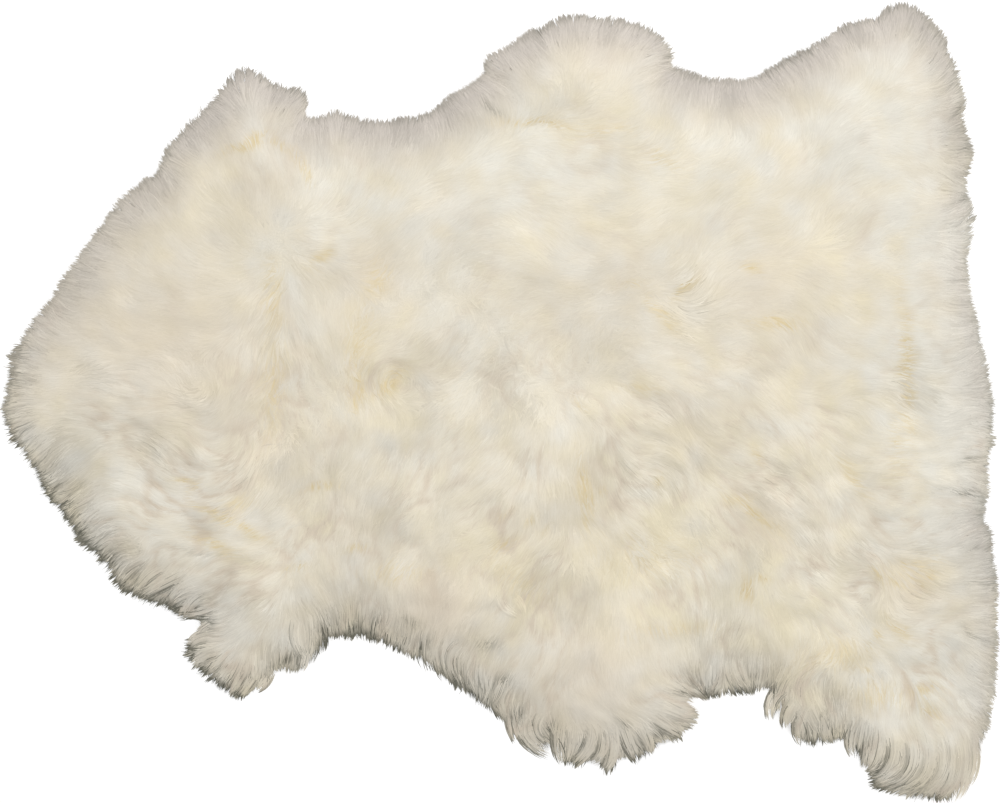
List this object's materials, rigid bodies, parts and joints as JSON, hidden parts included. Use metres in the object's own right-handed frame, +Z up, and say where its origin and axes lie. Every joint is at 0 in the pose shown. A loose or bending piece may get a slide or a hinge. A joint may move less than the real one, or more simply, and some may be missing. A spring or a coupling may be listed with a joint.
{
  "type": "sheepskin rug",
  "caption": "Whole sheepskin laid flat with its long ivory wool up, with neck, foreleg, flank and hind-leg lobes and a flat hide underside; a floor rug or chair throw.",
  "frame": {"origin": "middle of the underside's bounding box, on the surface that the rug lies on", "axes": "+X along the spine from the neck to the rump, +Y toward the far flank, +Z up through the wool"},
  "size_m": [1.0514, 0.8402, 0.049],
  "materials": {
    "wool": "long soft natural ivory wool, brushed, with yellowish partings",
    "hide": "pale undyed suede, the tanned underside of the skin"
  },
  "bodies": {
    "root": {"pelt": "wool"}
  },
  "joints": []
}
